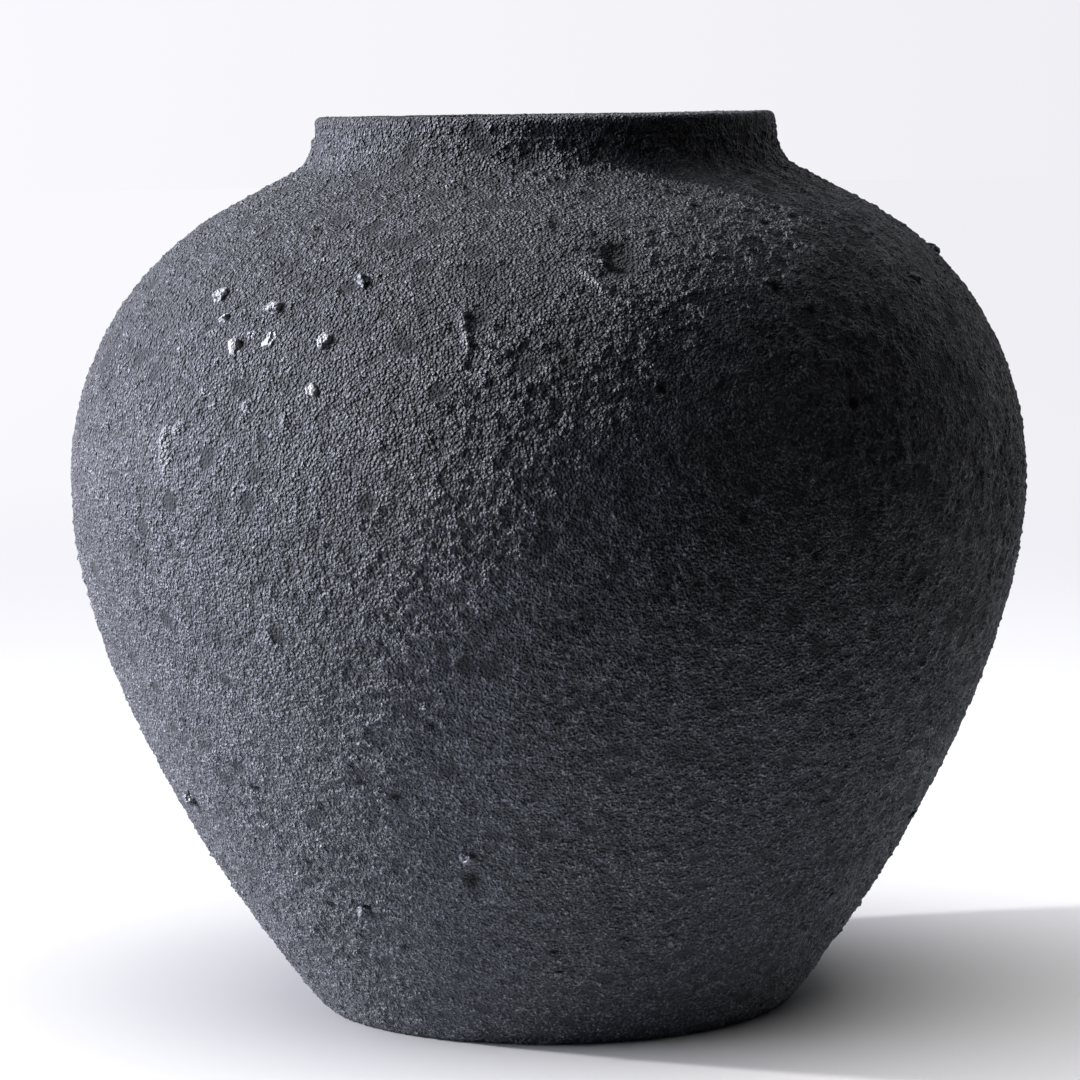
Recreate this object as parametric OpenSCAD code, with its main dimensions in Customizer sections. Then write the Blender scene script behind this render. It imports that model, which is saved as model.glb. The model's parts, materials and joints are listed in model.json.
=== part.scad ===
// Coil-built clay pot: wide belly, narrow foot, short upright collar, coarse gritty skin.
// Origin: centre of the foot on the ground, +Z up through the mouth, millimetres.

/* [Body] */
// widest diameter of the belly
belly_d = 300; // [296:0.5:304]
// height of the widest point above the ground
belly_z = 168; // [166:0.5:170]
// overall height, ground to rim
height = 280; // [279:0.5:284]
// diameter of the foot where it meets the ground
foot_d = 149; // [146:0.5:154]
// lean of the wall at the foot, degrees outwards from upright
foot_lean = 40; // [38:1:42]

/* [Shoulder and mouth] */
// radius of the shoulder's round section
shoulder_r = 95; // [93:0.5:97]
// how far the shoulder turns over, degrees from upright
shoulder_turn = 63; // [61:0.5:64]
// outside diameter of the collar
collar_d = 145; // [143:0.5:147]
// radius of the soft outside corner where the collar meets the shoulder
neck_round = 12; // [8:0.5:13]
// rounding of the two edges of the rim
rim_round = 2; // [1:0.25:2.5]
// height of the rim coil
rim_h = 6; // [5:0.5:7]

/* [Clay] */
// thickness of the wall, measured square to its surface
wall = 8.5; // [7.5:0.5:9.5]
// thickness of the floor slab at its rim
floor_t = 10; // [8:0.5:12]
// depth of the hollow pressed up under the slab, which leaves a ring to stand on
foot_hollow = 2; // [1:0.5:3]
// width of that standing ring
foot_ring = 12; // [9:0.5:16]
// reach of the coil pressed into the inside corner, out along the floor and up the wall
corner_reach = 14; // [10:1:16]

/* [Grit] */
// smallest and largest grain stuck on the skin, as radii
grain_min = 1.6; // [1.2:0.1:1.8]
grain_max = 2.8; // [2.4:0.1:3.2]
// grains in each of the three scattered belts
belt_grains = 9; // [5:1:12]

/* [Hidden] */
$fn = 96;
belly_r = belly_d / 2;
foot_r = foot_d / 2;
collar_r = collar_d / 2;
mouth_r = collar_r - wall;

function bezier(a, b, c, d, t) =
  pow(1 - t, 3) * a + 3 * pow(1 - t, 2) * t * b + 3 * (1 - t) * t * t * c + t * t * t * d;
function bezier_run(a, b, c, d, t) =
  pow(1 - t, 2) * (b - a) + 2 * (1 - t) * t * (c - b) + t * t * (d - c);
function polar(centre, r, a) = centre + r * [cos(a), sin(a)];
function back(line) = [for (i = [len(line) - 1:-1:0]) line[i]];
function slice(line, from, to) = [for (i = [from:to]) line[i]];
// point at a given height on an outline that climbs all the way
function at(line, z) = [lookup(z, [for (p = line) [p[1], p[0]]]), z];
function climb(line, low, high) =
  concat([at(line, low)], [for (p = line) if (p[1] > low && p[1] < high) p], [at(line, high)]);

// Lower wall: one smooth sweep from the leaning foot to the upright belly.
sweep_steps = 30;
foot_pull = 36;  // how far the lean at the foot carries up the wall
belly_pull = 63; // how far the upright belly carries down it
foot_p = [foot_r, 0];
foot_q = foot_p + foot_pull * [sin(foot_lean), cos(foot_lean)];
belly_p = [belly_r, belly_z];
belly_q = belly_p - [0, belly_pull];
sweep = [for (i = [0:sweep_steps]) bezier(foot_p, foot_q, belly_q, belly_p, i / sweep_steps)];
sweep_turn = [for (i = [0:sweep_steps])
  let (run = bezier_run(foot_p, foot_q, belly_q, belly_p, i / sweep_steps)) atan2(-run[0], run[1])];

// Shoulder: a round section that runs off straight towards the collar.
shoulder_steps = 14;
shoulder_c = [belly_r - shoulder_r, belly_z];
shoulder_turns = [for (i = [1:shoulder_steps]) shoulder_turn * i / shoulder_steps];
shoulder_end = polar(shoulder_c, shoulder_r, shoulder_turn);
run_off = [-sin(shoulder_turn), cos(shoulder_turn)];
square_off = [cos(shoulder_turn), sin(shoulder_turn)];

// Centre of the neck's soft corner: its own radius away from both the run-off and the collar.
neck_c = let (near = shoulder_end + neck_round * square_off)
  near + (near[0] - collar_r - neck_round) / sin(shoulder_turn) * run_off;
neck_foot = neck_c - neck_round * square_off;
collar_foot = shoulder_end + (shoulder_end[0] - collar_r) / sin(shoulder_turn) * run_off;

// The whole skin from foot to neck, and the inside of the wall square in from each point.
turns = concat(sweep_turn, shoulder_turns, [shoulder_turn]);
outside = concat(sweep, [for (a = shoulder_turns) polar(shoulder_c, shoulder_r, a)], [neck_foot]);
inside = [for (i = [0:len(outside) - 1]) polar(outside[i], -wall, turns[i])];
last = len(outside) - 1;

// Stations where one course ends and the next is laid on it: the foot coil first, then the others.
joints = [8, 14, 20, 26, sweep_steps + 2, sweep_steps + 7, sweep_steps + 12, last];

// Grains: where the scattered belts start, how tall they are, and the turn from one grain to the next.
belt_z = [26, 60, 222];
belt_h = 24;
golden_turn = 137.5;
// height and bearing of each grain in the cluster
cluster = [[228, -48], [225, -37], [214, -41], [216, -36], [217, -28], [203, -28]];

// Inside corner under the collar, where the sloping roof of the hollow turns up into the mouth.
neck_in = inside[last];
roof_edge = neck_in + (neck_in[0] - mouth_r) / sin(shoulder_turn) * run_off;
mouth_corner = 5; // reach of the rounding each way from that corner
rim_joint = height - rim_h;

clay = [0.055, 0.057, 0.063];
grit = [0.11, 0.11, 0.115];

module ring(points) rotate_extrude() polygon(points);

// One coil course, from its joint with the one below to the next: the joint faces are square to the
// wall, so courses meet face to face.
module course(i) color(clay)
  ring(concat(slice(outside, joints[i - 1], joints[i]), back(slice(inside, joints[i - 1], joints[i]))));

// Quadratic curve that leaves both ends along the straight lines to the corner.
function soft(a, corner, b, steps) = [for (i = [0:steps]) let (t = i / steps)
  (1 - t) * (1 - t) * a + 2 * t * (1 - t) * corner + t * t * b];

module floor_slab() color(clay) {
  edge = 1.5; // rounding of the foot's outer edge
  skin = climb(outside, edge, floor_t);
  hollow_r = foot_r - foot_ring;
  hollow = soft([0, foot_hollow], [hollow_r * 0.6, foot_hollow], [hollow_r, 0], 6);
  ring(concat(hollow, soft([foot_r - edge, 0], [foot_r, 0], skin[0], 4), slice(skin, 1, len(skin) - 1),
    [[0, floor_t]]));
}

module foot_coil() color(clay) {
  inner = [for (p = slice(inside, 0, joints[0])) if (p[1] > floor_t) p];
  ring(concat([at(outside, floor_t)], [for (p = slice(outside, 0, joints[0])) if (p[1] > floor_t) p],
    back(inner), [at(inside, floor_t)]));
}

module coil_course_1() course(1);
module coil_course_2() course(2);
module coil_course_3() course(3);
module coil_course_4() course(4);
module coil_course_5() course(5);
module coil_course_6() course(6);
module coil_course_7() course(7);

// Laid on the edge of the last course and bent up into the mouth.
module neck_collar() color(clay) {
  corner = soft([mouth_r, roof_edge[1] + mouth_corner], roof_edge, roof_edge - mouth_corner * run_off, 6);
  ring(concat([neck_foot, collar_foot, [collar_r, rim_joint], [mouth_r, rim_joint]], corner, [neck_in]));
}

// Thin coil pressed into the outside corner between shoulder and collar.
module neck_fillet() color(clay) {
  steps = 7;
  ring(concat([collar_foot], [for (i = [0:steps])
    polar(neck_c, neck_round, 180 + shoulder_turn * i / steps)]));
}

module rim_coil() color(clay) {
  out_c = [collar_r - rim_round, height - rim_round];
  in_c = [mouth_r + rim_round, height - rim_round];
  ring(concat([[mouth_r, rim_joint], [collar_r, rim_joint]],
    [for (a = [0:15:90]) polar(out_c, rim_round, a)], [for (a = [90:15:180]) polar(in_c, rim_round, a)]));
}

// Coil pressed into the inside corner between floor and wall.
module floor_fillet() color(clay) {
  corner = at(inside, floor_t);
  top_z = floor_t + corner_reach * cos(foot_lean);
  face = climb(inside, floor_t, top_z);
  curve = soft(at(inside, top_z), corner, corner - [corner_reach, 0], 8);
  ring(concat(face, slice(curve, 1, len(curve) - 1)));
}

// One grain at a height on the skin and a bearing counted from -Y towards +X. Its seat is cut to the
// face of the wall that it is stuck on.
module grain(z, bearing, r) {
  skin = at(outside, z);
  sunk = 0.2 * r;
  near = climb(outside, z - 1.5 * r, z + 1.5 * r);
  difference() {
    rotate([0, 0, bearing - 90]) translate([skin[0] - sunk, 0, skin[1]]) sphere(r);
    ring(concat([[0, near[0][1]]], near, [[0, near[len(near) - 1][1]]]), $fn = 720);
  }
}

module coarse_grit() color(grit) {
  // belts scattered round the foot, the lower wall and the shoulder
  for (belt = [0:2], i = [0:belt_grains - 1]) {
    bearing = golden_turn * (i + belt * belt_grains);
    spread = (i * 5 % belt_grains) / belt_grains;
    size = ((i * 4 + belt) % 7) / 6;
    grain(belt_z[belt] + belt_h * spread, bearing, grain_min + (grain_max - grain_min) * size);
  }
  // one close cluster on the shoulder
  for (spot = cluster) grain(spot[0], spot[1], grain_max);
}

floor_slab();
foot_coil();
coil_course_1();
coil_course_2();
coil_course_3();
coil_course_4();
coil_course_5();
coil_course_6();
coil_course_7();
neck_collar();
neck_fillet();
rim_coil();
floor_fillet();
coarse_grit();
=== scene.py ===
import json
import math

import bmesh
import bpy
import numpy as np
from mathutils import Euler, Matrix, Vector


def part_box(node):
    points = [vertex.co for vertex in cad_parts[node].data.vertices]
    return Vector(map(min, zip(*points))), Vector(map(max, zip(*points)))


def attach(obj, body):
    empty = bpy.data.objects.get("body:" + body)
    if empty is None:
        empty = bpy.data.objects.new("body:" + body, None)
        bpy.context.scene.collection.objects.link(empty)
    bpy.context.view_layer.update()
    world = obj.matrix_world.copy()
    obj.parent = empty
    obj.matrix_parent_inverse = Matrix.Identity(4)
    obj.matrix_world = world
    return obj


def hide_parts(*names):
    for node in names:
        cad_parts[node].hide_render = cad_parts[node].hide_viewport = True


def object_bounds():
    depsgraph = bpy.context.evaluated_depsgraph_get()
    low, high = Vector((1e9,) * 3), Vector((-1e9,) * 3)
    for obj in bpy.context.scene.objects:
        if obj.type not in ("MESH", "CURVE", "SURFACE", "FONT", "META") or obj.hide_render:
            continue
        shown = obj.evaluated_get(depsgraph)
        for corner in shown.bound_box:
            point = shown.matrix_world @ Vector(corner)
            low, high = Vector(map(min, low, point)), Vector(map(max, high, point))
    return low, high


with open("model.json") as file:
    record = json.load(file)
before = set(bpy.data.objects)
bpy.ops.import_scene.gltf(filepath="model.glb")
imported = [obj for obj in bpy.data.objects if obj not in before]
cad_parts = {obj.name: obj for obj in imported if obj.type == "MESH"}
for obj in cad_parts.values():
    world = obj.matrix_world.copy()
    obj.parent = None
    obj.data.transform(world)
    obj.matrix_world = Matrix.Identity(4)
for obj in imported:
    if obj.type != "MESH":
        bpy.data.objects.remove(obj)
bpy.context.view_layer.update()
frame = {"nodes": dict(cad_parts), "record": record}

# --- The wall, drawn up as one skin ------------------------------------------------------------
# Coarse sandy clay, built up coil on coil over a floor slab and drawn by hand into one sweep: foot,
# leaning wall, belly, round shoulder, collar, rim, and down again inside. The coils are luted together,
# so their skin is turned here as one closed sheet and parted at the joints further down.
mm = 0.001
# points about 0.7 mm apart both round the belly and up the skin
columns = 1280
skin_step = 0.64 * mm
inside_step = 8 * mm
wall = 8.5 * mm
width, _, height = frame["record"]["size"]["bbox_m"]
belly = np.array([width / 2, 168 * mm])
foot = np.array([74.5 * mm, 0])
foot_lean, shoulder_turn = math.radians(40), math.radians(63)
shoulder_r, neck_round, collar_r = 95 * mm, 12 * mm, 72.5 * mm
rim_round, foot_edge = 2 * mm, 1.5 * mm
mouth_r = collar_r - wall
mouth_corner = 5 * mm
# the collar leans in a little on its way up
collar_lean = 0.6 * mm
rim_r = collar_r - collar_lean
# how far the lean at the foot and the upright of the belly carry along the wall between them
foot_pull, belly_pull = 36 * mm, 63 * mm
finger, finger_ridge = 17 * mm, 0.35 * mm
hollow_depth, ring_width = 2 * mm, 12 * mm
fillet_r = 61 * mm
inside_rough = 0.35
slab_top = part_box("floor_slab")[1].z
rim_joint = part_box("rim_coil")[0].z


def polar(centre, r, angles):
    return centre + r * np.stack([np.cos(angles), np.sin(angles)], -1)


def soft(a, corner, b, count):
    t = np.linspace(0, 1, count)[:, None]
    return (1 - t) ** 2 * a + 2 * t * (1 - t) * corner + t * t * b


t = np.linspace(0, 1, 600)[:, None]
low_pull = foot + foot_pull * np.array([math.sin(foot_lean), math.cos(foot_lean)])
high_pull = belly - [0, belly_pull]
sweep = (1 - t) ** 3 * foot + 3 * (1 - t) ** 2 * t * low_pull + 3 * (1 - t) * t * t * high_pull + t**3 * belly
shoulder = polar(belly - [shoulder_r, 0], shoulder_r, np.linspace(0, shoulder_turn, 300)[1:])
run_off = np.array([-math.sin(shoulder_turn), math.cos(shoulder_turn)])
square_off = np.array([math.cos(shoulder_turn), math.sin(shoulder_turn)])
near = shoulder[-1] + neck_round * square_off
neck_c = near + (near[0] - collar_r - neck_round) / math.sin(shoulder_turn) * run_off
neck_foot = neck_c - neck_round * square_off
outer = np.vstack([sweep, shoulder, np.linspace(shoulder[-1], neck_foot, 60)[1:]])
run = np.r_[0, np.cumsum(np.hypot(*np.diff(outer, axis=0).T))]
tangent = np.gradient(outer, run, axis=0)
tangent /= np.hypot(*tangent.T)[:, None]
inner = outer - wall * np.stack([tangent[:, 1], -tangent[:, 0]], -1)
# ridges one finger wide, from smoothing the coils inside
inner += finger_ridge * np.cos(run / finger * math.tau)[:, None] * np.array([1, 0])


def between(line, start, stop, step):
    at = np.linspace(start, stop, max(2, round(abs(stop - start) / step)))
    return np.stack([np.interp(at, run, line[:, 0]), np.interp(at, run, line[:, 1])], -1)


# Joint heights on the skin come from the solids: below the belly a course starts lowest on the
# outside, and above it a course ends highest there.
courses = ["foot_coil"] + [f"coil_course_{i}" for i in range(1, 8)]
joint_z = [slab_top]
for name in courses:
    low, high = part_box(name)
    joint_z.append(high.z if high.z > belly[1] else np.nan)
    if low.z < belly[1] and name != "foot_coil":
        joint_z[-2] = low.z
joint_run = np.interp(joint_z, outer[:, 1], run)
corner_in = np.array([np.interp(slab_top, inner[:, 1], inner[:, 0]), slab_top])
fillet_top = np.interp(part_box("floor_fillet")[1].z, inner[:, 1], run)
fillet_low = np.array([fillet_r, slab_top])

rows, rough, owner, spans = [], [], [], {}


def lay(line, roughness, piece):
    """Carries the outline on along a line, as part of a piece, and notes its first and last station."""
    spans.setdefault(piece, []).append((len(rows), len(rows) + len(line) - 1))
    rows.extend(line[:-1])
    rough.extend([roughness] * (len(line) - 1))
    owner.extend([piece] * (len(line) - 1))


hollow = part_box("floor_slab")[0].z + hollow_depth
ring_in = foot[0] - ring_width
under_foot = soft(np.array([0, hollow]), np.array([0.6 * ring_in, hollow]), np.array([ring_in, 0]), 24)
lay(under_foot, 0.3, "floor_slab")
lay(np.linspace([ring_in, 0], foot - [foot_edge, 0], 8), 0.3, "floor_slab")
edge_run = np.interp(foot_edge, outer[:, 1], run)
lay(soft(foot - [foot_edge, 0], foot, between(outer, edge_run, edge_run + 1, 1)[0], 5), 0.8, "floor_slab")
lay(between(outer, edge_run, joint_run[0], skin_step), 1, "floor_slab")
for name, start, stop in zip(courses, joint_run, joint_run[1:]):
    lay(between(outer, start, stop, skin_step), 1, name)
lay(polar(neck_c, neck_round, np.linspace(math.pi + shoulder_turn, math.pi, 22)), 1, "neck_fillet")
# the rim was wiped with a wet finger, which left it smoother toward the top
lay(np.linspace([collar_r, neck_c[1]], [rim_r, rim_joint], 3), 0.9, "neck_collar")
lay(np.linspace([rim_r, rim_joint], [rim_r, height - rim_round], 8), 0.7, "rim_coil")
lay(polar(np.array([rim_r, height]) - rim_round, rim_round, np.linspace(0, math.pi / 2, 6)), 0.45, "rim_coil")
lay(np.linspace([rim_r - rim_round, height], [mouth_r + rim_round, height], 9), 0.35, "rim_coil")
in_c = np.array([mouth_r + rim_round, height - rim_round])
lay(polar(in_c, rim_round, np.linspace(math.pi / 2, math.pi, 6)), 0.4, "rim_coil")
lay(np.linspace([mouth_r, height - rim_round], [mouth_r, rim_joint], 6), 0.5, "rim_coil")
roof = between(inner, run[-1], run[-1], 1)[0]
roof_edge = roof + (roof[0] - mouth_r) / math.sin(shoulder_turn) * run_off
mouth_low = np.array([mouth_r, roof_edge[1] + mouth_corner])
lay(np.linspace([mouth_r, rim_joint], mouth_low, 8), 0.6, "neck_collar")
lay(soft(mouth_low, roof_edge, roof_edge - mouth_corner * run_off, 8), 0.5, "neck_collar")
lay(np.linspace(roof_edge - mouth_corner * run_off, roof, 4), 0.4, "neck_collar")
for name, start, stop in list(zip(courses, joint_run, joint_run[1:]))[:0:-1]:
    lay(between(inner, stop, start, inside_step), inside_rough, name)
fillet_at = between(inner, fillet_top, fillet_top, 1)[0]
lay(between(inner, joint_run[1], fillet_top, inside_step), inside_rough, "foot_coil")
lay(soft(fillet_at, corner_in, fillet_low, 10), inside_rough, "floor_fillet")
lay(np.linspace(fillet_low, [0, slab_top], 20), inside_rough, "floor_slab")
rows.append(np.array([0, slab_top]))
rough.append(inside_rough)

# The outline is drawn point by point, then turned once round the axis.
bpy.ops.object.select_all(action="DESELECT")
bpy.ops.mesh.primitive_plane_add(size=1 * mm, location=(0, 0, rows[0][1]))
skin = bpy.context.object
bpy.ops.object.transform_apply(location=True)
bpy.ops.object.mode_set(mode="EDIT")
bpy.ops.mesh.merge(type="CENTER")
for before, after in zip(rows, rows[1:]):
    step = (after[0] - before[0], 0, after[1] - before[1])
    bpy.ops.mesh.extrude_vertices_move(TRANSFORM_OT_translate={"value": step})
bpy.ops.object.mode_set(mode="OBJECT")


def corners(piece):
    found = np.empty(len(piece.data.vertices) * 3)
    piece.data.vertices.foreach_get("co", found)
    return found.reshape(-1, 3)


def note(piece, name, kind, values):
    piece.data.attributes.new(name, kind, "POINT").data.foreach_set("value", values)


def numbers(piece, name, kind=float):
    found = np.empty(len(piece.data.attributes[name].data), kind)
    piece.data.attributes[name].data.foreach_get("value", found)
    return found


station = np.abs(corners(skin)[:, None, ::2] - np.array(rows)).sum(2).argmin(1)
note(skin, "station", "INT", station)
# the sand stands about evenly, a little lower on the shoulder than toward the foot
coarser = np.interp(np.array(rows)[:, 1], [90 * mm, 220 * mm], [1.1, 1.05])
note(skin, "rough", "FLOAT", (np.array(rough) * coarser)[station])
# its sharpest grains are on the shoulder and at the foot, and the belly is rubbed softer
sharper = np.interp(np.array(rows)[:, 1], [40 * mm, 95 * mm, 180 * mm, 225 * mm], [1.5, 0.85, 0.85, 1.5])
note(skin, "sharp", "FLOAT", sharper[station])
lathe = skin.modifiers.new("turn", "SCREW")
lathe.steps = lathe.render_steps = columns
lathe.use_merge_vertices = True
lathe.merge_threshold = 1e-6
bpy.ops.object.modifier_apply(modifier=lathe.name)
bpy.ops.object.mode_set(mode="EDIT")
bpy.ops.mesh.select_all(action="SELECT")
bpy.ops.mesh.normals_make_consistent(inside=False)
bpy.ops.object.mode_set(mode="OBJECT")
bpy.ops.object.shade_smooth()


def put(tree, kind, feeds={}, **settings):
    """Adds a node: feeds are its inputs, each a value or another node's output, settings its own choices."""
    node = tree.nodes.new(kind)
    for name, value in settings.items():
        setattr(node, name, value)
    for name, value in feeds.items():
        if isinstance(value, bpy.types.NodeSocket):
            tree.links.new(value, node.inputs[name])
        else:
            node.inputs[name].default_value = value
    return node


# A few single marks: (height mm, bearing from the front, half length, half width, tilt, rise mm).
marks = [(184, -49, 8, 1.8, -8, 2.0), (191, -47, 3, 1.8, 30, 1.6), (219, -10, 7, 1.2, -12, 1.3),
         (239, 10, 5.5, 5, 0, -1.5), (233, 6, 5, 1.1, -48, 1.2), (58, -12, 2.6, 2.2, 0, -1.2)]
# crumbs of clay dropped round the cluster of grit
marks += [(224, -42, 1.3, 1.2, 20, 1.1), (218, -46, 2.4, 1.1, 70, 1.0), (218, -39, 2.2, 1.2, 60, 1.1),
          (210, -43, 1.7, 1.2, 10, 1.1), (213, -51, 2.2, 1.1, 60, 1.0), (208, -35, 1.4, 1.2, 0, 0.9),
          (201, -44, 1.9, 1.3, -30, 1.1), (198, -42, 1.9, 1.1, 60, 1.0), (198, -37, 1.8, 1.4, 0, 1.1),
          (194, -37, 1.8, 1.2, 0, 1.0), (194, -31, 2.8, 1.1, -10, 1.1), (187, -42, 1.5, 1.2, 0, 0.9)]
at = corners(skin)
station = numbers(skin, "station", int)
bearing, reach = np.arctan2(at[:, 0], -at[:, 1]), np.hypot(at[:, 0], at[:, 1])
welt = np.zeros(len(at))
for high, turn, half_long, half_wide, tilt, rise in marks:
    across = (bearing - math.radians(turn)) * reach / mm
    upward = (at[:, 2] / mm - high) * 1.15
    lean = math.radians(tilt)
    long_way = upward * math.cos(lean) + across * math.sin(lean)
    wide_way = across * math.cos(lean) - upward * math.sin(lean)
    welt += rise * np.exp(-((long_way / half_long) ** 4) - (wide_way / half_wide) ** 2)
welt[station >= spans["rim_coil"][-1][0]] = 0
note(skin, "welt", "FLOAT", welt * mm)


# The hand-built surface: a slow unevenness from the hand, softer swells, sandy lumps and grains standing
# out of the clay, and pits where grains fell out. Every size here is in millimetres.
swells = [(26, 0.7, 2), (6.5, 1.4, 2), (2.4, 1.15, 2)]  # size, full height, detail
# spacing of the grains or pits, their reach as a share of it, height, share of the spots left bare
grains_and_pits = [(2.0, 0.6, 0.75, 0), (6, 0.3, 1.0, 0.7), (11, 0.24, -1.4, 0.7), (21, 0.13, 1.4, 0.7)]
sway_size, sway_rise = 110, 1.6
drag_below, drag_more = 120, 0.8
relief = bpy.data.node_groups.new("sandy hand-built surface", "GeometryNodeTree")
relief.interface.new_socket("Geometry", in_out="INPUT", socket_type="NodeSocketGeometry")
relief.interface.new_socket("Geometry", in_out="OUTPUT", socket_type="NodeSocketGeometry")
place = put(relief, "GeometryNodeInputPosition").outputs[0]
# low on the pot the wet hand dragged the sand round, so the pattern there is squeezed in height
spot = put(relief, "ShaderNodeSeparateXYZ", {0: place})
x, y, z = spot.outputs
low = put(relief, "ShaderNodeMath", {0: z, 1: drag_below * mm}, operation="MINIMUM").outputs[0]
drag = put(relief, "ShaderNodeMath", {0: low, 1: drag_more, 2: z}, operation="MULTIPLY_ADD").outputs[0]
grain_at = put(relief, "ShaderNodeCombineXYZ", {0: x, 1: y, 2: drag}).outputs[0]
how_rough = put(relief, "GeometryNodeInputNamedAttribute", {"Name": "rough"}, data_type="FLOAT").outputs[0]
sway = put(relief, "ShaderNodeTexNoise", {"Vector": place, "Scale": 1000 / sway_size, "Detail": 1})
sway = sway.outputs["Fac"]
sway = put(relief, "ShaderNodeMath", {0: sway, 1: -0.5}, operation="ADD").outputs[0]
sway = put(relief, "ShaderNodeMath", {0: sway, 1: sway_rise * mm}, operation="MULTIPLY").outputs[0]
total = None
for size, rise, detail in swells:
    wave = put(relief, "ShaderNodeTexNoise", {"Vector": grain_at, "Scale": 1000 / size, "Detail": detail})
    wave = put(relief, "ShaderNodeMath", {0: wave.outputs["Fac"], 1: -0.5}, operation="ADD").outputs[0]
    wave = put(relief, "ShaderNodeMath", {0: wave, 1: rise * mm}, operation="MULTIPLY").outputs[0]
    total = put(relief, "ShaderNodeMath", {0: wave, 1: total or 0.0}, operation="ADD").outputs[0]
# the grains lie irregularly: each place is shifted by up to about a millimetre
drift = put(relief, "ShaderNodeTexNoise", {"Vector": grain_at, "Scale": 1000 / 3, "Detail": 1})
drift = put(relief, "ShaderNodeVectorMath", {0: drift.outputs["Color"], 1: (-0.5,) * 3},
            operation="ADD").outputs[0]
drift = put(relief, "ShaderNodeVectorMath", {0: drift, 1: (2.4 * mm,) * 3}, operation="MULTIPLY").outputs[0]
drift = put(relief, "ShaderNodeVectorMath", {0: drift, 1: grain_at}, operation="ADD").outputs[0]
for spacing, reach, rise, bare in grains_and_pits:
    cell = put(relief, "ShaderNodeTexVoronoi", {"Vector": drift, "Scale": 1000 / spacing})
    luck = put(relief, "ShaderNodeSeparateXYZ", {0: cell.outputs["Color"]}).outputs[0]
    least = 0.0 if bare else 0.25
    luck = put(relief, "ShaderNodeMapRange", {0: luck, 1: bare, 2: 1.0, 3: least, 4: 1.0}).outputs[0]
    away = cell.outputs["Distance"]
    dome = put(relief, "ShaderNodeMapRange", {0: away, 1: 0.0, 2: reach, 3: rise * mm, 4: 0.0},
               interpolation_type="SMOOTHSTEP").outputs[0]
    dome = put(relief, "ShaderNodeMath", {0: dome, 1: luck}, operation="MULTIPLY").outputs[0]
    total = put(relief, "ShaderNodeMath", {0: total, 1: dome}, operation="ADD").outputs[0]
patch = put(relief, "ShaderNodeTexNoise", {"Vector": place, "Scale": 1000 / 45, "Detail": 1}).outputs["Fac"]
patch = put(relief, "ShaderNodeMapRange", {0: patch, 1: 0.3, 2: 0.7, 3: 0.7, 4: 1.15}).outputs[0]
# here and there the sand was rubbed away and a smooth bald spot is left, 3 to 6 mm across
cell = put(relief, "ShaderNodeTexVoronoi", {"Vector": drift, "Scale": 1000 / 10})
luck = put(relief, "ShaderNodeSeparateXYZ", {0: cell.outputs["Color"]}).outputs[1]
# most of them lie high on the shoulder, where the hand rested
high_up = put(relief, "ShaderNodeMapRange", {0: z, 1: 215 * mm, 2: 250 * mm, 3: 0.0, 4: 0.3}).outputs[0]
luck = put(relief, "ShaderNodeMath", {0: luck, 1: high_up}, operation="ADD").outputs[0]
luck = put(relief, "ShaderNodeMapRange", {0: luck, 1: 0.74, 2: 0.82}).outputs[0]
away = cell.outputs["Distance"]
bald = put(relief, "ShaderNodeMapRange", {0: away, 1: 0.24, 2: 0.37, 3: 0.9, 4: 0.0}).outputs[0]
bald = put(relief, "ShaderNodeMath", {0: bald, 1: luck}, operation="MULTIPLY").outputs[0]
left = put(relief, "ShaderNodeMath", {0: 1.0, 1: bald}, operation="SUBTRACT").outputs[0]
for factor in (patch, left, how_rough):
    total = put(relief, "ShaderNodeMath", {0: total, 1: factor}, operation="MULTIPLY").outputs[0]
welt = put(relief, "GeometryNodeInputNamedAttribute", {"Name": "welt"}, data_type="FLOAT").outputs[0]
total = put(relief, "ShaderNodeMath", {0: total, 1: welt}, operation="ADD").outputs[0]
both = put(relief, "ShaderNodeMath", {0: total, 1: sway}, operation="ADD").outputs[0]
outwards = put(relief, "GeometryNodeInputNormal").outputs[0]
move = put(relief, "ShaderNodeVectorMath", {0: outwards, 3: both}, operation="SCALE").outputs[0]
in_mm = put(relief, "ShaderNodeMath", {0: total, 1: 1000.0}, operation="MULTIPLY").outputs[0]
clay_in = put(relief, "NodeGroupInput").outputs[0]
kept = put(relief, "GeometryNodeStoreNamedAttribute", {"Geometry": clay_in, "Name": "relief", "Value": in_mm},
           data_type="FLOAT", domain="POINT").outputs[0]
kept = put(relief, "GeometryNodeStoreNamedAttribute", {"Geometry": kept, "Name": "bald", "Value": bald},
           data_type="FLOAT", domain="POINT").outputs[0]
moved = put(relief, "GeometryNodeSetPosition", {"Geometry": kept, "Offset": move}).outputs[0]
# the foot is worn flat where it stands
spot = put(relief, "ShaderNodeSeparateXYZ", {0: place})
level = put(relief, "ShaderNodeMath", {0: spot.outputs["Z"], 1: 0.0}, operation="MAXIMUM").outputs[0]
spot = put(relief, "ShaderNodeCombineXYZ", {0: spot.outputs["X"], 1: spot.outputs["Y"], 2: level}).outputs[0]
stood = put(relief, "GeometryNodeSetPosition", {"Geometry": moved, "Position": spot}).outputs[0]
put(relief, "NodeGroupOutput", {0: stood})
skin.modifiers.new("surface", "NODES").node_group = relief
bpy.ops.object.modifier_apply(modifier="surface")


def face_starts(piece):
    first = np.empty(len(piece.data.polygons), int)
    piece.data.polygons.foreach_get("loop_start", first)
    at = np.empty(len(piece.data.loops), int)
    piece.data.loops.foreach_get("vertex_index", at)
    return first, at


skin_points = corners(skin)

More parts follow.
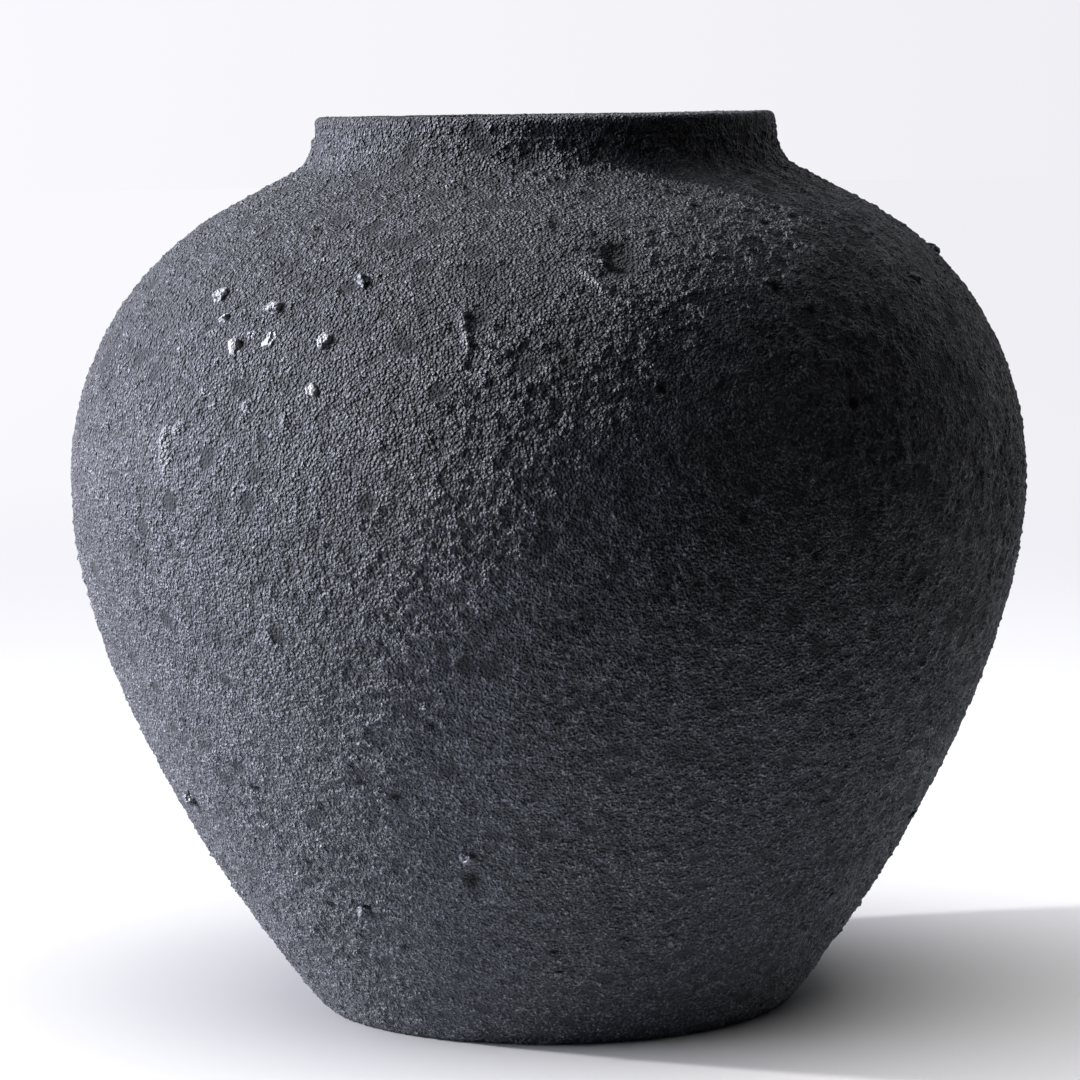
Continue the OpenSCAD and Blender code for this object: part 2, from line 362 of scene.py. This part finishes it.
# Each face belongs to the piece that its first station belongs to, and the sheet comes apart there.
names = list(dict.fromkeys(owner))
first, at = face_starts(skin)
below = np.minimum.reduceat(numbers(skin, "station", int)[at], first)
skin.data.attributes.new("piece", "INT", "FACE").data.foreach_set(
    "value", np.array([names.index(name) for name in owner])[below])
skin.data.materials.clear()
for name in names:
    skin.data.materials.append(None)
skin.data.polygons.foreach_set("material_index", numbers(skin, "piece", int))
while skin.data.uv_layers:
    skin.data.uv_layers.remove(skin.data.uv_layers[0])
bpy.ops.object.mode_set(mode="EDIT")
bpy.ops.mesh.select_all(action="SELECT")
bpy.ops.mesh.separate(type="MATERIAL")
bpy.ops.object.mode_set(mode="OBJECT")
parted = {names[int(numbers(piece, "piece", int)[0])]: piece for piece in bpy.context.selected_objects}
for name, piece in parted.items():
    piece.name = piece.data.name = name + "_clay"


# --- The joints between the pieces ----------------------------------------------------------------
# Every course is a closed ring of clay: the skin outside and in, and above and below it the joint face
# that was scored and luted onto its neighbour. The bends inside a joint follow the solids.
collar_foot = shoulder[-1] + (shoulder[-1][0] - collar_r) / math.sin(shoulder_turn) * run_off
# the thin edge of a fillet is tucked in under the skin, 1.5 mm deep
tuck = 1.5 * mm
extra = {"wall_tuck": fillet_at + [tuck, -2 * tuck], "slab_corner": corner_in,
         "slab_tuck": fillet_low + [2 * tuck, -tuck], "neck_tuck": neck_foot - tuck * square_off,
         "collar_foot": collar_foot, "collar_tuck": np.array([collar_r - tuck, neck_c[1] - 2 * tuck])}
spot_of = rows + list(extra.values())
bend_at = {name: len(rows) + number for number, name in enumerate(extra)}


def pick(piece, *stations):
    """Opens a piece for editing with only the rings of points at these stations selected."""
    bpy.ops.object.select_all(action="DESELECT")
    piece.select_set(True)
    bpy.context.view_layer.objects.active = piece
    bpy.ops.object.mode_set(mode="EDIT")
    bpy.ops.mesh.select_all(action="DESELECT")
    bpy.ops.object.mode_set(mode="OBJECT")
    piece.data.vertices.foreach_set("select", np.isin(numbers(piece, "station", int), stations))
    bpy.ops.object.mode_set(mode="EDIT")


def bend(piece, start, point, station):
    """Carries a joint face on from one ring to a new one through a point of the cross-section."""
    pick(piece, start)
    bpy.ops.mesh.mark_sharp()
    bpy.ops.mesh.extrude_edges_move(TRANSFORM_OT_translate={"value": (0, 0, point[1] - spot_of[start][1])})
    share = point[0] / spot_of[start][0]
    bpy.ops.transform.resize(value=(share, share, 1), center_override=(0, 0, 0))
    bpy.ops.object.mode_set(mode="OBJECT")
    chosen = np.empty(len(piece.data.vertices), bool)
    piece.data.vertices.foreach_get("select", chosen)
    at = numbers(piece, "station", int)
    at[chosen] = station
    piece.data.attributes["station"].data.foreach_set("value", at)


def lute(piece, *pairs):
    """Closes a piece with a joint face between the two rings of each pair."""
    for pair in pairs:
        pick(piece, *pair)
        bpy.ops.mesh.mark_sharp()
        bpy.ops.mesh.bridge_edge_loops()
        bpy.ops.object.mode_set(mode="OBJECT")
    bpy.ops.object.mode_set(mode="EDIT")
    bpy.ops.mesh.select_all(action="SELECT")
    bpy.ops.mesh.normals_make_consistent(inside=False)
    solid = bmesh.from_edit_mesh(piece.data)
    if solid.calc_volume(signed=True) < 0:
        bpy.ops.mesh.flip_normals()
    bpy.ops.object.mode_set(mode="OBJECT")


# where each piece's skin begins and ends, outside and in
first = {name: strips[0][0] for name, strips in spans.items()}
outer_end = {name: (strips[0] if len(strips) < 5 else strips[3])[1] for name, strips in spans.items()}
inner_start = {name: strips[-1][0] for name, strips in spans.items()}
last = {name: strips[-1][1] for name, strips in spans.items()}
for name in courses[1:]:
    lute(parted[name], (outer_end[name], inner_start[name]), (last[name], first[name]))
# the bends of each hidden face, on from the ring where the skin stops, and where it meets the skin again
round_slab = ["slab_tuck", "slab_corner", "wall_tuck"]
round_neck = ["neck_tuck", "collar_foot", "collar_tuck"]
bends = {"floor_slab": (inner_start["floor_slab"], ["slab_tuck"], outer_end["floor_slab"]),
         "foot_coil": (last["foot_coil"], ["wall_tuck", "slab_corner"], first["foot_coil"]),
         "floor_fillet": (last["floor_fillet"], round_slab, first["floor_fillet"]),
         "neck_fillet": (first["neck_fillet"], round_neck, last["neck_fillet"]),
         "neck_collar": (last["neck_collar"], round_neck, first["neck_collar"])}
for name, (start, corners_of, stop) in bends.items():
    at = start
    for corner_name in corners_of:
        bend(parted[name], at, spot_of[bend_at[corner_name]], bend_at[corner_name])
        at = bend_at[corner_name]
    lute(parted[name], (at, stop))
lute(parted["foot_coil"], (outer_end["foot_coil"], inner_start["foot_coil"]))
lute(parted["neck_collar"], (outer_end["neck_collar"], spans["neck_collar"][1][0]))
lute(parted["rim_coil"], (last["rim_coil"], first["rim_coil"]))


# Each piece gets a flat layout of its own: the cross-section runs up the sheet, the hidden faces squeezed,
# and the way round the pot is cut into a few equal stretches, one above the other.
def unroll(piece, corners_of):
    strips = spans[piece.name.removesuffix("_clay")]
    order, weight = [strips[0][0]], []
    for number, (start, stop) in enumerate(strips):
        if start != order[-1]:
            order.append(start)
            weight.append(0.3)
        order.extend(range(start + 1, stop + 1))
        weight.extend([1 if owner_outside[start] else 0.3] * (stop - start))
    for corner_name in corners_of:
        order.append(bend_at[corner_name])
        weight.append(0.3)
    points = np.array([spot_of[at] for at in order + [order[0]]])
    weight.append(0.3)
    up = np.r_[0, np.cumsum(np.hypot(*np.diff(points, axis=0).T) * weight)]
    height_of = np.zeros(len(spot_of))
    height_of[order] = up[:-1] / up[-1]
    around = math.tau * max(points[:, 0])
    stretches = max(1, round(math.sqrt(around / up[-1])))
    while columns % stretches:
        stretches += 1
    each = columns // stretches
    starts, at = face_starts(piece)
    sizes = np.diff(np.r_[starts, len(at)])
    co = corners(piece)
    column = np.round(np.arctan2(co[:, 1], co[:, 0]) / math.tau * columns)[at] % columns
    on_axis = (np.hypot(co[:, 0], co[:, 1]) < 1e-6)[at]
    least = np.minimum.reduceat(np.where(on_axis, columns, column), starts)
    most = np.maximum.reduceat(np.where(on_axis, -1, column), starts)
    begin = np.where(most - least > columns / 2, most, least).repeat(sizes)
    along = np.where(on_axis, 0.5, (column - begin) % columns)
    ring = numbers(piece, "station", int)[at]
    v = height_of[ring]
    wraps = (np.maximum.reduceat(v, starts) - np.minimum.reduceat(v, starts)).repeat(sizes)
    v = np.where((ring == order[0]) & (wraps > 1 - (up[-1] - up[-2]) / up[-1] - 1e-6), 1.0, v)
    stretch = begin // each
    u = (begin % each + along) / each
    layout = piece.data.uv_layers.new(name="OFBake")
    layout.uv.foreach_set("vector", np.stack([u, (stretch + 0.998 * v) / stretches], -1).ravel())


outside_to = spans["rim_coil"][-1][0]
owner_outside = np.arange(len(rows)) < outside_to
for name, piece in parted.items():
    unroll(piece, bends.get(name, [0, [], 0])[1])


# Barro negro, an unglazed clay blackened by smoke in a closed kiln: the whole body is near black, dull in the
# pits, which also carry painted shade, and on the rubbed spots, greyer and smoother on the high grains of sand,
# where the grey is partly pale sand and partly painted highlight, with a fine sandy tooth.
def linear(shade):
    part = [int(shade[i:i + 2], 16) / 255 for i in (1, 3, 5)]
    return [c / 12.92 if c <= 0.04045 else ((c + 0.055) / 1.055) ** 2.4 for c in part] + [1]


def smoked_clay():
    clay = bpy.data.materials.new("smoke-fired coarse clay")
    clay.use_nodes = True
    tree = clay.node_tree
    shader = tree.nodes["Principled BSDF"]
    where = put(tree, "ShaderNodeTexCoord").outputs["Object"]
    high = put(tree, "ShaderNodeAttribute", attribute_name="relief").outputs["Fac"]
    # how high the grain stands, from the floor of a pit to the top of a lump, in mm
    lift = put(tree, "ShaderNodeMapRange", {"Value": high, "From Min": -0.8, "From Max": 1.2}).outputs[0]
    cloud = put(tree, "ShaderNodeTexNoise", {"Vector": where, "Scale": 1000 / 38, "Detail": 3}).outputs["Fac"]
    grit = put(tree, "ShaderNodeTexNoise", {"Vector": where, "Scale": 1000 / 0.9, "Detail": 3}).outputs["Fac"]
    tone = put(tree, "ShaderNodeMix", {"Factor": cloud, 6: linear("#191a1d"), 7: linear("#292a2e")},
               data_type="RGBA").outputs[2]
    # painted shade: the lower the skin lies, down to the floor of a pit, the nearer black it is painted
    tone = put(tree, "ShaderNodeMix", {"Factor": lift, 6: linear("#08080a"), 7: tone},
               data_type="RGBA").outputs[2]
    # pale specks on the high grains: partly pale sand, partly a painted highlight standing in for glints on the
    # tops of the lumps
    sand_and_painted_glint = put(tree, "ShaderNodeMapRange", {"Value": grit, "From Min": 0.52, "From Max": 0.66})
    sand_and_painted_glint = put(tree, "ShaderNodeMath", {0: sand_and_painted_glint.outputs[0], 1: lift}, operation="MULTIPLY").outputs[0]
    tone = put(tree, "ShaderNodeMix", {"Factor": sand_and_painted_glint, 6: tone, 7: linear("#828387")},
               data_type="RGBA").outputs[2]
    # the rubbed spots have lost their pale grains
    bald = put(tree, "ShaderNodeAttribute", attribute_name="bald").outputs["Fac"]
    tone = put(tree, "ShaderNodeMix", {"Factor": bald, 6: tone, 7: linear("#08080a")},
               data_type="RGBA").outputs[2]
    # where a dab of clay stands proud it is painted paler, a painted highlight on the raised ridge
    dab_painted_highlight = put(tree, "ShaderNodeAttribute", attribute_name="welt").outputs["Fac"]
    dab_painted_highlight = put(tree, "ShaderNodeMapRange", {"Value": dab_painted_highlight, "From Min": 0.4 * mm, "From Max": 1.1 * mm})
    tone = put(tree, "ShaderNodeMix", {"Factor": dab_painted_highlight.outputs[0], 6: tone, 7: linear("#6a6a6c")},
               data_type="RGBA").outputs[2]
    tree.links.new(tone, shader.inputs["Base Color"])
    sheen = put(tree, "ShaderNodeMath", {0: grit, 1: 0.5, 2: lift}, operation="MULTIPLY_ADD").outputs[0]
    sheen = put(tree, "ShaderNodeMath", {0: sheen, 1: bald}, operation="SUBTRACT").outputs[0]
    gloss = put(tree, "ShaderNodeMapRange", {"Value": sheen, "From Min": 0.3, "From Max": 1.1,
                                             "To Min": 0.85, "To Max": 0.4}).outputs[0]
    tree.links.new(gloss, shader.inputs["Roughness"])
    shader.inputs["IOR"].default_value = 1.42
    sand = put(tree, "ShaderNodeTexVoronoi", {"Vector": where, "Scale": 1000 / 0.9}).outputs["Distance"]
    sand = put(tree, "ShaderNodeMath", {0: grit, 1: sand}, operation="SUBTRACT").outputs[0]
    coarse = put(tree, "ShaderNodeTexNoise", {"Vector": where, "Scale": 1000 / 2.2, "Detail": 2})
    sand = put(tree, "ShaderNodeMath", {0: coarse.outputs["Fac"], 1: 0.8, 2: sand},
               operation="MULTIPLY_ADD").outputs[0]
    worn = put(tree, "ShaderNodeMapRange", {"Value": bald, "To Min": 1.0, "To Max": 0.35}).outputs[0]
    sharp = put(tree, "ShaderNodeAttribute", attribute_name="sharp").outputs["Fac"]
    worn = put(tree, "ShaderNodeMath", {0: worn, 1: sharp}, operation="MULTIPLY").outputs[0]
    sand = put(tree, "ShaderNodeMath", {0: sand, 1: worn}, operation="MULTIPLY").outputs[0]
    bump = put(tree, "ShaderNodeBump", {"Height": sand, "Strength": 1.0, "Distance": 1.3 * mm}).outputs[0]
    tree.links.new(bump, shader.inputs["Normal"])
    return clay


clay = smoked_clay()
for name, piece in parted.items():
    piece.data.materials.clear()
    piece.data.materials.append(clay)
    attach(piece, "root")
    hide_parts(name)


# --- Coarse grit ----------------------------------------------------------------------------------
# Fired grains of broken pot and quartz that stand out of the skin, scattered round the pot with one
# cluster high on the left. Each is an angular crumb pressed into the wet clay. Five crumbs are broken
# by flat cuts, then copied, turned and sized to the solids they stand for.
dice = np.random.default_rng(7)
crumbs = []
cluster_low, cluster_high = 200 * mm, 230 * mm
cluster_left, cluster_right = -52, -24
kinds, cuts = 5, 9
for kind in range(kinds):
    bpy.ops.object.select_all(action="DESELECT")
    bpy.ops.mesh.primitive_ico_sphere_add(subdivisions=3, radius=1)
    crumb = bpy.context.object
    bpy.ops.object.mode_set(mode="EDIT")
    for cut in range(cuts):
        facing = Vector(dice.normal(size=3)).normalized()
        bpy.ops.mesh.select_all(action="SELECT")
        bpy.ops.mesh.bisect(plane_co=facing * dice.uniform(0.62, 0.86), plane_no=facing, use_fill=True,
                            clear_outer=True)
    bpy.ops.object.mode_set(mode="OBJECT")
    broken = crumb.modifiers.new("even mesh", "REMESH")
    broken.voxel_size = 0.075
    bpy.ops.object.modifier_apply(modifier=broken.name)
    for size, strength in [(0.7, 0.55), (0.25, 0.2)]:
        pattern = bpy.data.textures.new("weathering", "CLOUDS")
        pattern.noise_scale = size
        worn = crumb.modifiers.new("worn", "DISPLACE")
        worn.texture, worn.strength = pattern, strength
        bpy.ops.object.modifier_apply(modifier=worn.name)
    crumbs.append(crumb)

bpy.ops.object.select_all(action="DESELECT")
seats = frame["nodes"]["coarse_grit"].copy()
seats.data = seats.data.copy()
bpy.context.collection.objects.link(seats)
seats.select_set(True)
bpy.context.view_layer.objects.active = seats
bpy.ops.object.mode_set(mode="EDIT")
bpy.ops.mesh.select_all(action="SELECT")
bpy.ops.mesh.remove_doubles(threshold=1e-6)
bpy.ops.mesh.separate(type="LOOSE")
bpy.ops.object.mode_set(mode="OBJECT")
# each solid's ball is centred a fifth of its radius under the smooth skin, and a crumb sits a little deeper
ball_depth, crumb_depth = 0.2, 0.27
seats = sorted(bpy.context.selected_objects, key=lambda seat: tuple(np.round(corners(seat).mean(0), 5)))
grains = []
for number, seat in enumerate(seats):
    co = corners(seat)
    ball = np.linalg.lstsq(np.c_[2 * co, np.ones(len(co))], (co**2).sum(1), rcond=None)[0]
    centre, r = ball[:3], math.sqrt(ball[3] + ball[:3] @ ball[:3])
    # the way out of the wall there, and the nearest point of the rough skin
    lean = np.argmin(np.abs(outer[:, 1] - centre[2]))
    out = np.array([*(centre[:2] / np.hypot(*centre[:2]) * tangent[lean, 1]), -tangent[lean, 0]])
    under = skin_points[np.argmin(((skin_points - centre - ball_depth * r * out) ** 2).sum(1))]
    grain = crumbs[number % len(crumbs)].copy()
    grain.data = grain.data.copy()
    bpy.context.collection.objects.link(grain)
    turned = Euler(dice.uniform(0, math.tau, 3)).to_matrix().to_4x4()
    stretched = Matrix.Diagonal([*dice.uniform(0.8, 1.2, 3), 1])
    seated = Matrix.Translation(under - crumb_depth * r * out)
    grain.data.transform(seated @ Matrix.Scale(r, 4) @ turned @ stretched)
    bearing = math.degrees(math.atan2(centre[0], -centre[1]))
    # the crumbs of the cluster are the ones painted pale, partly as painted highlight
    bare = float(cluster_low < centre[2] < cluster_high and cluster_left < bearing < cluster_right)
    note(grain, "bare", "FLOAT", [bare] * len(grain.data.vertices))
    grains.append(grain)
for used in seats + crumbs:
    bpy.data.objects.remove(used)
bpy.ops.object.select_all(action="DESELECT")
for grain in grains:
    grain.select_set(True)
bpy.context.view_layer.objects.active = grains[0]
bpy.ops.object.join()
grit = bpy.context.object
grit.name = grit.data.name = "coarse_grit_crumbs"
bpy.ops.object.shade_smooth_by_angle(angle=math.radians(40))


# Broken fired clay and quartz under the same smoke: as dark as the wall but glossier, and pale where the
# crumbs of the cluster high on the lit left are bare of clay, a pale that is partly the stone's own and partly
# painted highlight.
def smoked_crumb():
    stone = bpy.data.materials.new("smoked grit of fired clay and quartz")
    stone.use_nodes = True
    tree = stone.node_tree
    shader = tree.nodes["Principled BSDF"]
    where = put(tree, "ShaderNodeTexCoord").outputs["Object"]
    patch = put(tree, "ShaderNodeTexNoise", {"Vector": where, "Scale": 1000 / 2.5, "Detail": 3})
    patch = patch.outputs["Fac"]
    bare = put(tree, "ShaderNodeAttribute", attribute_name="bare").outputs["Fac"]
    # painted highlight, partly the stone's own pale: the bare crumbs of the cluster are painted pale grey
    pale = put(tree, "ShaderNodeMix", {"Factor": patch, 6: linear("#56565a"), 7: linear("#908f8e")},
               data_type="RGBA").outputs[2]
    tone = put(tree, "ShaderNodeMix", {"Factor": bare, 6: linear("#1d1e21"), 7: pale},
               data_type="RGBA").outputs[2]
    tree.links.new(tone, shader.inputs["Base Color"])
    gloss = put(tree, "ShaderNodeMapRange", {"Value": patch, "To Min": 0.35, "To Max": 0.6}).outputs[0]
    tree.links.new(gloss, shader.inputs["Roughness"])
    shader.inputs["IOR"].default_value = 1.54
    fine = put(tree, "ShaderNodeTexNoise", {"Vector": where, "Scale": 1000 / 0.6, "Detail": 2}).outputs["Fac"]
    bump = put(tree, "ShaderNodeBump", {"Height": fine, "Strength": 0.8, "Distance": 0.2 * mm}).outputs[0]
    tree.links.new(bump, shader.inputs["Normal"])
    return stone


grit.data.materials.clear()
grit.data.materials.append(smoked_crumb())
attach(grit, "root")
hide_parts("coarse_grit")


# --- Floor, light and camera -----------------------------------------------------------------------
# A pale matt floor that fades into the pale backdrop, with the pot standing free on it.
bpy.ops.object.select_all(action="DESELECT")
bpy.ops.mesh.primitive_circle_add(vertices=96, radius=12, fill_type="NGON", location=(0, 0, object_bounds()[0].z))
floor = bpy.context.object
bpy.ops.object.transform_apply(location=True)
floor.name = "floor"


def backdrop(tree, sideways, reach):
    """The backdrop is a shade brighter on the left than on the right."""
    share = put(tree, "ShaderNodeMapRange", {"Value": sideways, "From Min": -reach, "From Max": reach})
    share = share.outputs[0]
    return put(tree, "ShaderNodeMix", {"Factor": share, 6: linear("#faf9fe"), 7: linear("#f0eff4")},
               data_type="RGBA").outputs[2]


def painted_floor():
    paint = bpy.data.materials.new("matt pale paint")
    paint.use_nodes = True
    tree = paint.node_tree
    shader = tree.nodes["Principled BSDF"]
    shader.inputs["Base Color"].default_value = linear("#7c7b7b")
    shader.inputs["Roughness"].default_value = 0.9
    where = put(tree, "ShaderNodeTexCoord").outputs["Object"]
    away = put(tree, "ShaderNodeVectorMath", {0: where}, operation="LENGTH").outputs["Value"]
    sideways = put(tree, "ShaderNodeSeparateXYZ", {0: where}).outputs["X"]
    glow = put(tree, "ShaderNodeEmission", {"Color": backdrop(tree, sideways, 0.5)}).outputs[0]
    gone = put(tree, "ShaderNodeBsdfTransparent").outputs[0]
    # far off it takes the backdrop's tone, and only the floor near the pot throws light back at it
    fade = put(tree, "ShaderNodeMapRange", {"Value": away, "From Min": 0.4, "From Max": 1.9},
               interpolation_type="SMOOTHSTEP").outputs[0]
    seen = put(tree, "ShaderNodeMixShader", {0: fade, 1: shader.outputs[0], 2: glow}).outputs[0]
    edge = put(tree, "ShaderNodeMapRange", {"Value": away, "From Min": 0.13, "From Max": 0.34}).outputs[0]
    near = put(tree, "ShaderNodeBsdfDiffuse", {"Color": linear("#bcc0c8")}).outputs[0]
    felt = put(tree, "ShaderNodeMixShader", {0: edge, 1: near, 2: gone}).outputs[0]
    eye = put(tree, "ShaderNodeLightPath").outputs["Is Camera Ray"]
    mixed = put(tree, "ShaderNodeMixShader", {0: eye, 1: felt, 2: seen}).outputs[0]
    tree.links.new(mixed, tree.nodes["Material Output"].inputs["Surface"])
    return paint


floor.data.materials.append(painted_floor())

# The room: what the camera sees past the floor is the backdrop, and what lights the pot is a wide window on
# the left, a dimmer wall behind and a little light from everywhere else.
room = bpy.data.worlds.new("studio")
bpy.context.scene.world = room
room.use_nodes = True
tree = room.node_tree
toward = put(tree, "ShaderNodeTexCoord").outputs["Generated"]


def share_of_sky(facing, start, stop, strength):
    """Light from one side of the room: it grows from nothing to its full strength toward that side."""
    facing = Vector(facing).normalized()
    aim = put(tree, "ShaderNodeVectorMath", {0: toward, 1: facing}, operation="DOT_PRODUCT").outputs["Value"]
    return put(tree, "ShaderNodeMapRange",
               {"Value": aim, "From Min": start, "From Max": stop, "To Max": strength},
               interpolation_type="SMOOTHSTEP").outputs[0]


window = put(tree, "ShaderNodeMath", {0: share_of_sky((-1, 0.1, 0), 0.74, 0.98, 7.8),
                                      1: share_of_sky((-1, 0.1, 0.5), 0.7, 1, 7)}, operation="ADD").outputs[0]
everywhere = 0.055
level = put(tree, "ShaderNodeMath", {0: share_of_sky((0, 1, 0), 0, 0.8, 0.8), 1: everywhere},
            operation="ADD").outputs[0]
level = put(tree, "ShaderNodeMath", {0: share_of_sky((0, 0, 1), 0, 1, 0.08), 1: level},
            operation="ADD").outputs[0]
room_light = put(tree, "ShaderNodeBackground", {"Color": linear("#f6f8ff"), "Strength": level}).outputs[0]
window = put(tree, "ShaderNodeBackground", {"Color": linear("#e0e6ff"), "Strength": window}).outputs[0]
sky = put(tree, "ShaderNodeAddShader", {0: room_light, 1: window}).outputs[0]
sideways = put(tree, "ShaderNodeSeparateXYZ", {0: toward}).outputs["X"]
seen = put(tree, "ShaderNodeBackground", {"Color": backdrop(tree, sideways, 0.13)}).outputs[0]
eye = put(tree, "ShaderNodeLightPath").outputs["Is Camera Ray"]
both = put(tree, "ShaderNodeMixShader", {0: eye, 1: sky, 2: seen}).outputs[0]
tree.links.new(both, tree.nodes["World Output"].inputs["Surface"])

# The key: one fairly small lamp to the left and slightly behind, so that every grain throws a shadow.
key_height, key_bearing = math.radians(29), math.radians(177)
to_key = Vector([math.cos(key_height) * math.cos(key_bearing), math.cos(key_height) * math.sin(key_bearing),
                 math.sin(key_height)])
key = bpy.data.lights.new("key", "SUN")
key.energy, key.angle = 8.3, math.radians(3)
key_lamp = bpy.data.objects.new("key", key)
bpy.context.collection.objects.link(key_lamp)
key_lamp.rotation_euler = to_key.to_track_quat("Z", "Y").to_euler()

# A wide overhead panel opens up the shadow on the floor and touches nothing else.
panel = bpy.data.lights.new("overhead", "AREA")
panel.energy, panel.size = 146, 2.0
panel_lamp = bpy.data.objects.new("overhead", panel)
bpy.context.collection.objects.link(panel_lamp)
panel_lamp.location = (0, -0.4, 1.8)
panel_lamp.visible_camera = False
only_floor = bpy.data.collections.new("lit from overhead")
only_floor.objects.link(floor)
panel_lamp.light_linking.receiver_collection = only_floor

lens = bpy.data.cameras.new("camera")
lens.lens, lens.sensor_width, lens.clip_end = 137.5, 36, 60
camera = bpy.data.objects.new("camera", lens)
bpy.context.collection.objects.link(camera)
look = Euler((math.radians(90 - 6.16), 0, 0)).to_matrix() @ Euler((0, 0, math.radians(-0.75))).to_matrix()
camera.matrix_world = Matrix.Translation((-3.06 * mm, -1.3, 286.1 * mm)) @ look.to_4x4()
bpy.context.scene.camera = camera
bpy.context.scene.view_settings.view_transform = "Standard"
